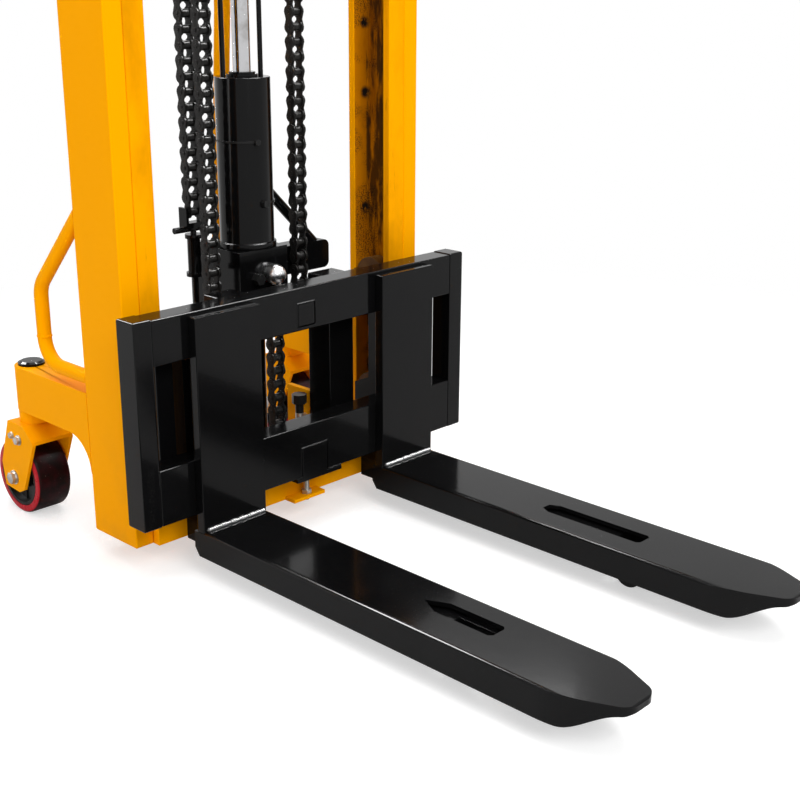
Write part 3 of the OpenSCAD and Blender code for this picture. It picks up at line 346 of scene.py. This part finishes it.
# Finish of each CAD node that stays as it is
nodeFinish = {
    "yellow": ["mast_box_left", "mast_box_right", "mast_top_plate", "mast_cross_tie", "base_frame",
               "caster_arm_left", "caster_arm_right", "guard_tube_left",
               "caster_fork_left", "caster_fork_right", "tiller", "tiller_handle"],
    "track": ["mast_channel_left", "mast_channel_right"],
    "post": ["end_post_left"],
    "gloss": ["end_post_right", "upper_beam", "lower_beam", "fork_shank_left", "fork_shank_right",
              "fork_blade_left", "fork_blade_right", "roller_plate_left", "roller_plate_right", "box_posts",
              "chain_hooks", "support_leg_left", "support_leg_right"],
    "jack": ["lift_cylinder", "oil_jacket", "ram_gland", "pump_block", "pump_strut", "guide_rods",
             "chain_anchors", "crosshead", "swivel_caps", "release_lever"],
    "chain": ["tie_chain", "front_chains", "chain_wraps", "rear_chain_left", "rear_chain_right"],
    "steel": ["load_axles", "chain_pulleys", "pump_plunger"],
    "greased": ["roller_lower_left", "roller_lower_right", "roller_upper_left", "roller_upper_right"],
    "chrome": ["ram_rod"],
    "fitting": ["fittings"],
    "roller": ["load_wheel_left", "load_wheel_right"],
}
# Edge rounding in millimetres
edgeWidth = {
    "mast_box_left": 3.0, "mast_box_right": 3.0, "mast_channel_left": 2.0, "mast_channel_right": 2.0,
    "mast_top_plate": 2.0, "mast_cross_tie": 1.5, "base_frame": 1.5, "caster_arm_left": 3.0,
    "caster_arm_right": 3.0, "caster_fork_left": 1.2, "caster_fork_right": 1.2, "end_post_left": 3.2,
    "end_post_right": 3.2, "upper_beam": 3.0, "lower_beam": 2.6, "fork_shank_left": 3.0,
    "fork_shank_right": 3.0, "fork_blade_left": 1.2, "fork_blade_right": 1.2, "roller_plate_left": 1.5,
    "roller_plate_right": 1.5, "box_posts": 3.0, "support_leg_left": 2.0, "support_leg_right": 2.0,
    "pump_block": 2.5, "crosshead": 1.5, "fittings": 1.0, "chain_anchors": 1.0, "oil_jacket": 1.5,
    "chain_hooks": 1.2, "release_lever": 1.5,
}
# Stepped pieces have steps under a millimetre, which would hold the rounding back
rounding = {"angle": 38.0, "segments": 3, "merge": 0.00001,
            "stepped": ["fork_shank_left", "fork_shank_right", "upper_beam", "lower_beam"]}


def roundEdges(piece, width):
    # A CAD node's triangles are loose, so they are merged first
    merge = piece.modifiers.new("weld", "WELD")
    merge.merge_threshold = rounding["merge"]
    edge = piece.modifiers.new("edge", "BEVEL")
    edge.width = width / 1000
    edge.segments = rounding["segments"]
    edge.limit_method = "ANGLE"
    edge.angle_limit = math.radians(rounding["angle"])
    edge.harden_normals = True
    edge.use_clamp_overlap = piece.name not in rounding["stepped"]


for finish, names in nodeFinish.items():
    for name in names:
        node = nodes[name]
        node.data.materials.clear()
        node.data.materials.append(finishes[finish].made)
        if name in edgeWidth:
            roundEdges(node, edgeWidth[name])
print("CAD nodes dressed")


# Modelling helpers
def unpick():
    if bpy.context.object and bpy.context.object.mode != "OBJECT":
        bpy.ops.object.mode_set(mode="OBJECT")
    for thing in bpy.context.selected_objects:
        thing.select_set(False)


def grab(piece):
    unpick()
    bpy.context.view_layer.objects.active = piece
    piece.select_set(True)


def pickNone(kind):
    # Points, edges or faces are picked next, and none of them is yet
    bpy.ops.mesh.select_all(action="DESELECT")
    bpy.ops.mesh.select_mode(type=kind)


def edit(piece, kind="FACE"):
    grab(piece)
    bpy.ops.object.mode_set(mode="EDIT")
    pickNone(kind)


def pick(piece, test, kind="FACE"):
    # Selects faces, edges or points by a test of their middle and themselves
    mesh = bmesh.from_edit_mesh(piece.data)
    for part in {"FACE": mesh.faces, "EDGE": mesh.edges, "VERT": mesh.verts}[kind]:
        middle = part.co if kind == "VERT" else sum((v.co for v in part.verts), Vector()) / len(part.verts)
        if test(middle, part):
            part.select_set(True)
    mesh.select_flush_mode()
    bmesh.update_edit_mesh(piece.data)


def facesSideways(middle, face):
    return abs(face.normal.x) > 0.9


def isOpen(middle, edge):
    return len(edge.link_faces) == 1


def widthOf(edge):
    # How far an edge reaches along X
    return abs(edge.verts[0].co.x - edge.verts[1].co.x)


def done(piece, angle):
    bpy.ops.object.mode_set(mode="OBJECT")
    grab(piece)
    bpy.ops.object.shade_smooth_by_angle(angle=math.radians(angle))


def settle(piece):
    # Puts a piece's place into its mesh
    grab(piece)
    bpy.ops.object.transform_apply(location=True, rotation=True, scale=True)


def fit(piece, name, finish, body, slot, *stoodFor):
    piece.name = name
    piece.data.name = name
    piece.data.materials.clear()
    piece.data.materials.append(finishes[finish].made)
    settle(piece)
    if body:
        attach(piece, body)
    if stoodFor:
        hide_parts(*stoodFor)
    return piece


def copyOf(piece, place=(0, 0, 0), turn=None):
    twin = piece.copy()
    twin.data = piece.data.copy()
    bpy.context.scene.collection.objects.link(twin)
    if turn is not None:
        twin.matrix_world = turn
    else:
        twin.location = place
    return twin


def joined(pieces):
    unpick()
    for piece in pieces:
        piece.select_set(True)
    bpy.context.view_layer.objects.active = pieces[0]
    bpy.ops.object.join()
    return pieces[0]


def roller(radius, depth, count=96):
    # A cylinder along X, on the origin
    bpy.ops.mesh.primitive_cylinder_add(vertices=count, radius=radius, depth=depth,
                                        rotation=(0, math.pi / 2, 0))
    made = bpy.context.object
    settle(made)
    return made


# Lift chains: two kinds of link and a pin, modelled once
chain = {"pitch": 0.0286, "roller": 0.0165, "rollerWidth": 0.0185, "rollerRim": 0.0014, "pin": 0.0085,
         "pinHalf": 0.0165, "pinRim": 0.0010, "plate": 0.0028, "plateGap": 0.0003, "plateRim": 0.0009,
         "height": 0.0250, "waist": 0.62, "swell": 1.08, "outerAt": 1.6, "innerAt": 0.5, "x": 0.1145,
         "frontY": 0.200 + faceY, "rearY": 0.252 + faceY, "hook": 0.440, "left": 0.627, "right": 1.182,
         "pulleyY": 0.226 + faceY, "pulleyZ": 1.265, "reach": 0.026, "arc": 60,
         "wrapScale": (1, 0.96, 0.93, 1), "tieY": 0.148 + faceY, "tieTop": 0.451, "tieLinks": 12}


def chainPlate(side):
    middleZ = chain["pitch"] / 2
    bpy.ops.mesh.primitive_cube_add(size=1)
    plate = bpy.context.object
    plate.scale = (chain["plate"] - chain["plateGap"], chain["height"], chain["pitch"] + chain["height"])
    plate.location = (side, 0, middleZ)
    settle(plate)
    edit(plate, "EDGE")
    pick(plate, lambda middle, edge: widthOf(edge) > 0.001, "EDGE")
    bpy.ops.mesh.bevel(offset=chain["height"] * 0.49, segments=4, affect="EDGES")
    bpy.ops.mesh.select_all(action="SELECT")
    bpy.ops.mesh.bisect(plane_co=(0, 0, middleZ), plane_no=(0, 0, 1))
    pickNone("VERT")
    pick(plate, lambda middle, point: abs(middle.z - middleZ) < 0.0005, "VERT")
    bpy.ops.transform.resize(value=(1, chain["waist"], 1), center_override=(side, 0, middleZ))
    pickNone("FACE")
    pick(plate, facesSideways)
    bpy.ops.mesh.inset(thickness=chain["plateRim"], depth=0.0)
    bpy.ops.transform.resize(value=(chain["swell"], 1, 1), center_override=(side, 0, middleZ))
    done(plate, 50)
    return plate


def chainLink(stand):
    side = chain["rollerWidth"] / 2 + stand * chain["plate"]
    return joined([chainPlate(-side), chainPlate(side)])


def chainRound(radius, depth, count, rim):
    made = roller(radius, depth, count)
    edit(made)
    pick(made, facesSideways)
    bpy.ops.mesh.inset(thickness=rim)
    done(made, 40)
    return made


def chainPin():
    sleeve = chainRound(chain["roller"] / 2, chain["rollerWidth"], 16, chain["rollerRim"])
    pin = chainRound(chain["pin"] / 2, 2 * chain["pinHalf"], 12, chain["pinRim"])
    return joined([sleeve, pin])


innerLink, outerLink, linkPin = chainLink(chain["innerAt"]), chainLink(chain["outerAt"]), chainPin()


def strand(x, y, z, count):
    made = []
    for i in range(count):
        made.append(copyOf(outerLink if i % 2 else innerLink, (x, y, z + i * chain["pitch"])))
    for i in range(count + 1):
        made.append(copyOf(linkPin, (x, y, z + i * chain["pitch"])))
    return made


def linksTo(foot):
    # Whole links from about this height up to the pulleys' axle
    return round((chain["pulleyZ"] - foot) / chain["pitch"])


hookLinks, leftLinks, rightLinks = linksTo(chain["hook"]), linksTo(chain["left"]), linksTo(chain["right"])
hookZ = chain["pulleyZ"] - hookLinks * chain["pitch"]
leftZ = chain["pulleyZ"] - leftLinks * chain["pitch"]
rightZ = chain["pulleyZ"] - rightLinks * chain["pitch"]
front = joined([p for s in (-1, 1) for p in strand(s * chain["x"], chain["frontY"], hookZ, hookLinks)])
fit(front, "frontChains", "chain", None, "chain_steel", "front_chains")
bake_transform(front)
for side, x, z, count in (("Left", -1, leftZ, leftLinks), ("Right", 1, rightZ, rightLinks)):
    rear = joined(strand(x * chain["x"], chain["rearY"], z, count))
    fit(rear, "rearChain" + side, "chain", None, "chain_steel", "rear_chain_" + side.lower())
    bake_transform(rear)
tieZ = chain["tieTop"] - chain["tieLinks"] * chain["pitch"]
tie = joined(strand(0, chain["tieY"], tieZ, chain["tieLinks"]))
fit(tie, "tieChain", "chain", "chassis", "chain_steel", "tie_chain")

# Three links go over each pulley
over = []
for x in (-chain["x"], chain["x"]):
    for i, link in enumerate((innerLink, outerLink, innerLink)):
        low, high = (math.radians(a) for a in (i * chain["arc"], (i + 1) * chain["arc"]))
        foot = Vector((x, chain["pulleyY"] - chain["reach"] * math.cos(low),
                       chain["pulleyZ"] + chain["reach"] * math.sin(low)))
        lean = Matrix.Rotation(-(low + high) / 2, 4, "X")
        if i:
            over.append(copyOf(linkPin, foot))
        over.append(copyOf(link, turn=Matrix.Translation(foot) @ lean @ Matrix.Diagonal(chain["wrapScale"])))
wraps = joined(over)
fit(wraps, "chainWraps", "chain", "crosshead", "chain_steel", "chain_wraps")
for thing in (innerLink, outerLink, linkPin):
    bpy.data.objects.remove(thing)
print("chains made:", hookLinks, leftLinks, rightLinks, chain["tieLinks"], "links")


def onTreadEdge(middle, edge):
    # the two round edges of the tyre's running face
    outside = all(math.hypot(v.co.y, v.co.z) > wheel["radius"] - 0.0005 for v in edge.verts)
    return outside and widthOf(edge) < 0.001


def makeTyre():
    tyre = roller(wheel["radius"], 2 * wheel["half"])
    edit(tyre)
    pick(tyre, facesSideways)
    bpy.ops.mesh.inset(thickness=wheel["radius"] - wheel["rim"] - 0.0004)
    bpy.ops.mesh.delete(type="FACE")
    bpy.ops.mesh.select_mode(type="EDGE")
    pick(tyre, isOpen, "EDGE")
    bpy.ops.mesh.bridge_edge_loops()
    pickNone("EDGE")
    pick(tyre, onTreadEdge, "EDGE")
    bpy.ops.mesh.bevel(offset=wheel["shoulder"], segments=5, affect="EDGES")
    bpy.ops.mesh.select_all(action="SELECT")
    bpy.ops.mesh.normals_make_consistent(inside=False)
    done(tyre, 40)
    return tyre


# The hub's dish has steps from rim to boss, each with its inset and depth
hubLook = {"narrower": 0.003, "ribs": 6, "ribLow": 0.024, "ribHigh": 0.055, "ribHalf": 0.0024, "ribX": 0.0245,
           "ribRound": 0.0011,
           "dish": ((0.0012, 0.0012), (0.0055, 0.0), (0.0030, -0.0150), (0.0030, -0.0010), (0.0230, 0.0),
                    (0.0025, 0.0110), (0.0016, 0.0012), (0.0060, 0.0), (0.0012, -0.0030))}


def hubRib(turn):
    low, high = hubLook["ribLow"], hubLook["ribHigh"]
    bpy.ops.mesh.primitive_cube_add(size=1)
    rib = bpy.context.object
    rib.scale = (2 * hubLook["ribX"], 2 * hubLook["ribHalf"], high - low)
    rib.location = (0, 0, (high + low) / 2)
    settle(rib)
    edit(rib, "EDGE")
    bpy.ops.mesh.select_all(action="SELECT")
    bpy.ops.mesh.bevel(offset=hubLook["ribRound"], segments=2, affect="EDGES")
    done(rib, 40)
    rib.rotation_euler = (turn, 0, 0)
    settle(rib)
    return rib


def makeHub():
    hub = roller(wheel["rim"], 2 * wheel["half"] - hubLook["narrower"])
    edit(hub)
    pick(hub, facesSideways)
    for thickness, depth in hubLook["dish"]:
        bpy.ops.mesh.inset(thickness=thickness, depth=depth)
    done(hub, 32)
    return joined([hub] + [hubRib(i * math.tau / hubLook["ribs"]) for i in range(hubLook["ribs"])])


tyre, hub = makeTyre(), makeHub()
for side, sign in (("Left", -1), ("Right", 1)):
    spot = (sign * wheel["x"], wheel["y"], wheel["radius"])
    low = side.lower()
    fit(copyOf(tyre, spot), "casterTyre" + side, "tread", "caster_wheel_" + low, "tread_red",
        "caster_tyre_" + low)
    fit(copyOf(hub, spot), "casterHub" + side, "hub", "caster_wheel_" + low, "hub_black",
        "caster_hub_" + low)
for thing in (tyre, hub):
    bpy.data.objects.remove(thing)
print("rear wheels made")

# Axles and bolts of the casters, with washers. A head's size is across its flats
bolt = {"face": 0.047, "axle": 0.0098, "axleOut": 0.010, "washer": 0.0150, "washerThick": 0.0022,
        "washerAt": 0.0013, "nut": 0.0220, "nutThick": 0.0090, "nutAt": 0.0070, "thin": 0.0018,
        "thinAt": 0.0010,
        "pair": (((0.500 + faceY, 0.169), 0.0150), ((0.525 + faceY, 0.174), 0.0105))}


def washer(place, radius, height):
    made = roller(radius, height, 32)
    edit(made)
    pick(made, facesSideways)
    bpy.ops.mesh.inset(thickness=height * 0.4, depth=0.0)
    bpy.ops.transform.resize(value=(1.15, 1, 1))
    done(made, 40)
    made.location = place
    return made


def hexHead(place, across, height):
    made = roller(across / math.sqrt(3), height, 6)
    edit(made)
    pick(made, facesSideways)
    bpy.ops.mesh.inset(thickness=across * 0.10, depth=height * 0.12)
    pickNone("EDGE")
    pick(made, lambda middle, edge: widthOf(edge) > height * 0.5, "EDGE")
    bpy.ops.mesh.bevel(offset=across * 0.02, segments=2, affect="EDGES")
    done(made, 30)
    made.location = place
    return made


for side, sign in (("Left", -1), ("Right", 1)):
    x = sign * wheel["x"]
    parts = [roller(bolt["axle"], 2 * bolt["face"] + bolt["axleOut"], 48)]
    parts[0].location = (x, wheel["y"], wheel["radius"])
    for end in (-1, 1):
        near, far = (x + end * (bolt["face"] + bolt[k]) for k in ("washerAt", "nutAt"))
        parts.append(washer((near, wheel["y"], wheel["radius"]), bolt["washer"], bolt["washerThick"]))
        parts.append(hexHead((far, wheel["y"], wheel["radius"]), bolt["nut"], bolt["nutThick"]))
    face = x + sign * bolt["face"]
    for (y, z), size in bolt["pair"]:
        parts.append(washer((face + sign * bolt["thinAt"], y, z), size * 0.72, bolt["thin"]))
        parts.append(hexHead((face + sign * (bolt["thin"] + size * 0.22), y, z), size, size * 0.45))
    fit(joined(parts), "casterBolts" + side, "steel", "caster_" + side.lower(), "bare_steel",
        "caster_axle_" + side.lower())
print("caster bolts made")

# Pump's relief dome, a ball cut off behind and drawn out into the block
dome = {"place": (0.016, 0.160 + faceY, 0.5040), "radius": 0.021, "cut": 0.0105, "neck": 0.012}
bpy.ops.mesh.primitive_uv_sphere_add(segments=48, ring_count=24, radius=dome["radius"])
cap = bpy.context.object
edit(cap)
pick(cap, lambda middle, face: middle.y > dome["cut"])
bpy.ops.mesh.delete(type="FACE")
pick(cap, isOpen, "EDGE")
bpy.ops.mesh.extrude_region_move(TRANSFORM_OT_translate={"value": (0, dome["neck"], 0)})
bpy.ops.mesh.edge_face_add()
bpy.ops.mesh.select_all(action="SELECT")
bpy.ops.mesh.normals_make_consistent(inside=False)
done(cap, 40)
cap.location = dome["place"]
fit(cap, "pumpDome", "dome", "chassis", "bare_steel")

# Joint ring on the guard tube
ring = {"place": (-0.367, 0.410 + faceY, 0.4035), "radius": 0.0150, "height": 0.005, "round": 0.0012}
bpy.ops.mesh.primitive_cylinder_add(vertices=48, radius=ring["radius"], depth=ring["height"])
collar = bpy.context.object
edit(collar, "EDGE")
pick(collar, lambda middle, edge: abs(edge.verts[0].co.z - edge.verts[1].co.z) < 0.001, "EDGE")
bpy.ops.mesh.bevel(offset=ring["round"], segments=3, affect="EDGES")
done(collar, 40)
collar.location = ring["place"]
fit(collar, "guardRing", "yellow", "chassis", "mast_yellow")
print("small fittings made")

# Weld beads where each fork's upright plate meets its blade, laid as a row of drops
weld = {"radius": 0.0058, "step": 0.0052, "length": 0.138, "forkX": 0.235, "top": 0.094, "sink": 0.001,
        "lift": 0.0005, "wobble": 0.0008, "lean": 24, "flat": 0.8}


def weldDrop():
    edge = 0.3 * weld["radius"]
    bpy.ops.mesh.primitive_uv_sphere_add(segments=12, ring_count=8, radius=weld["radius"])
    drop = bpy.context.object
    edit(drop)
    pick(drop, lambda middle, face: middle.z < -edge and middle.y > edge)
    bpy.ops.transform.resize(value=(1, weld["flat"], weld["flat"]))
    done(drop, 60)
    return drop


for side, x in (("Left", -weld["forkX"]), ("Right", weld["forkX"])):
    drop = weldDrop()
    ripples = []
    count = int(weld["length"] / weld["step"])
    for i in range(count):
        wobble = math.sin(i * 2.3) * weld["wobble"]
        swell = 1 + 0.10 * math.sin(i * 4.7) + 0.08 * math.sin(i * 1.3)
        along = x + (i - (count - 1) / 2) * weld["step"]
        shape = (0.75 * swell, (1.15 + wobble * 90) * swell, 0.95 * swell, 1)
        spot = Matrix.Translation((along, faceY - weld["sink"] + wobble, weld["top"] + weld["lift"]))
        lean = Matrix.Rotation(math.radians(weld["lean"]), 4, "Z")
        ripples.append(copyOf(drop, turn=spot @ lean @ Matrix.Diagonal(shape)))
    bpy.data.objects.remove(drop)
    bead = joined(ripples)
    fit(bead, "heelWeld" + side, "bead", "carriage", "gloss_black")
print("welds made")

# Floor, world and lamps
studio = {"floor": 60, "floorTone": rgb(0.60, 0.60, 0.60), "floorGlow": 0.52, "whiteFrom": (1.1, 2.6),
          "white": rgb(1, 1, 1), "fill": 0.47}
bpy.ops.mesh.primitive_plane_add(size=studio["floor"], location=(0, 0, 0))
floor = bpy.context.object
floor.name = "studioFloor"
ground = Finish("paleFloor")
rays = ground.tree.nodes.new("ShaderNodeLightPath")
direct = Wire(ground.tree, rays.outputs["Is Camera Ray"])
shown = ground.wire.calc("MAXIMUM", direct, Wire(ground.tree, rays.outputs["Is Glossy Ray"]))
ground.set(Base_Color=studio["floorTone"], Roughness=0.9, Specular_IOR_Level=0.1)
ground.set(Emission_Color=direct * studio["floorGlow"], Emission_Strength=1.0)
# the floor turns into plain white away from the machine
distance = ground.wire.put("ShaderNodeVectorMath", {"operation": "LENGTH"}, out=1, n0=ground.place)
white = ground.tree.nodes.new("ShaderNodeEmission")
mixed = ground.tree.nodes.new("ShaderNodeMixShader")
ground.tree.links.new((distance.ramp(*studio["whiteFrom"]) * shown).socket, mixed.inputs[0])
ground.tree.links.new(ground.shader.outputs[0], mixed.inputs[1])
ground.tree.links.new(white.outputs[0], mixed.inputs[2])
ground.tree.links.new(mixed.outputs[0], ground.tree.nodes["Material Output"].inputs["Surface"])
floor.data.materials.append(ground.made)

# The world is white to the camera and in reflections, and a soft fill for the rest
world = bpy.data.worlds.new("studio")
bpy.context.scene.world = world
world.use_nodes = True
sky = Wire(world.node_tree)
path = world.node_tree.nodes.new("ShaderNodeLightPath")
plain = Wire(world.node_tree, path.outputs["Is Camera Ray"])
shiny = Wire(world.node_tree, path.outputs["Is Glossy Ray"])
strength = sky.calc("MAXIMUM", plain, sky.calc("MAXIMUM", shiny, studio["fill"]))
backdrop = world.node_tree.nodes["Background"]
backdrop.inputs["Color"].default_value = studio["white"]
world.node_tree.links.new(strength.socket, backdrop.inputs["Strength"])


def aim(thing, place, target):
    thing.location = place
    thing.rotation_euler = (Vector(target) - Vector(place)).to_track_quat("-Z", "Y").to_euler()


# Place, target, size and power of each
lamps = {
    "keyLamp": ((-1.2, -4.2, 3.6), (0, 0, 0.6), (3.0, 2.2), 172),
    "topLamp": ((0.5, -0.4, 5.0), (0, -0.2, 0), (4.0, 4.0), 146),
    "sideLamp": ((-4.6, 0.6, 2.2), (0, 0.2, 0.6), (2.5, 2.5), 52),
    "backLamp": ((3.0, 3.0, 4.4), (0, 0.2, 0.8), (2.5, 2.5), 70),
}
for name, (place, target, size, power) in lamps.items():
    made = bpy.data.lights.new(name, "AREA")
    made.shape = "RECTANGLE"
    made.size, made.size_y = size
    made.energy = power
    lamp = bpy.data.objects.new(name, made)
    bpy.context.scene.collection.objects.link(lamp)
    aim(lamp, place, target)

# Bright panels that only reflections see: they draw the light lines along the black edges
panels = {
    "edgePanel": ((1.7, -1.0, 4.5), (0, -0.1, 0.4), 2.4, 64),
    "rimPanel": ((-1.75, 2.8, 3.4), (-0.2, -0.5, 0.1), 2.0, 60),
}
for name, (place, target, size, power) in panels.items():
    bpy.ops.mesh.primitive_plane_add(size=size)
    panel = bpy.context.object
    panel.name = name
    aim(panel, place, target)
    glow = bpy.data.materials.new(name)
    glow.use_nodes = True
    light = glow.node_tree.nodes.new("ShaderNodeEmission")
    light.inputs["Strength"].default_value = power
    glow.node_tree.links.new(light.outputs[0], glow.node_tree.nodes["Material Output"].inputs["Surface"])
    glow.cycles.emission_sampling = "NONE"
    panel.data.materials.append(glow)
    for kind in ("camera", "diffuse", "transmission", "volume_scatter", "shadow"):
        setattr(panel, "visible_" + kind, False)

# Camera: where the photograph was taken from. The focal length is in pixels of its width
eye = {"place": (-1.6538, -1.6383, 1.0848), "yaw": 46.16, "pitch": 18.30, "roll": 0.26, "focal": 1298.7,
       "width": 800, "sensor": 36, "clip": (0.05, 100)}
yaw, pitch, roll = (math.radians(eye[k]) for k in ("yaw", "pitch", "roll"))
ahead = Vector((math.sin(yaw) * math.cos(pitch), math.cos(yaw) * math.cos(pitch), -math.sin(pitch)))
across = Vector((math.cos(yaw), -math.sin(yaw), 0))
above = across.cross(ahead)
right = math.cos(roll) * across + math.sin(roll) * above
above = -math.sin(roll) * across + math.cos(roll) * above
lens = bpy.data.cameras.new("photoCamera")
lens.sensor_width = eye["sensor"]
lens.lens = eye["focal"] * eye["sensor"] / eye["width"]
lens.clip_start, lens.clip_end = eye["clip"]
camera = bpy.data.objects.new("photoCamera", lens)
bpy.context.scene.collection.objects.link(camera)
camera.matrix_world = Matrix.Translation(eye["place"]) @ Matrix((right, above, -ahead)).transposed().to_4x4()
bpy.context.scene.camera = camera
bpy.context.scene.view_settings.view_transform = "Standard"
print("studio ready")

unpick()
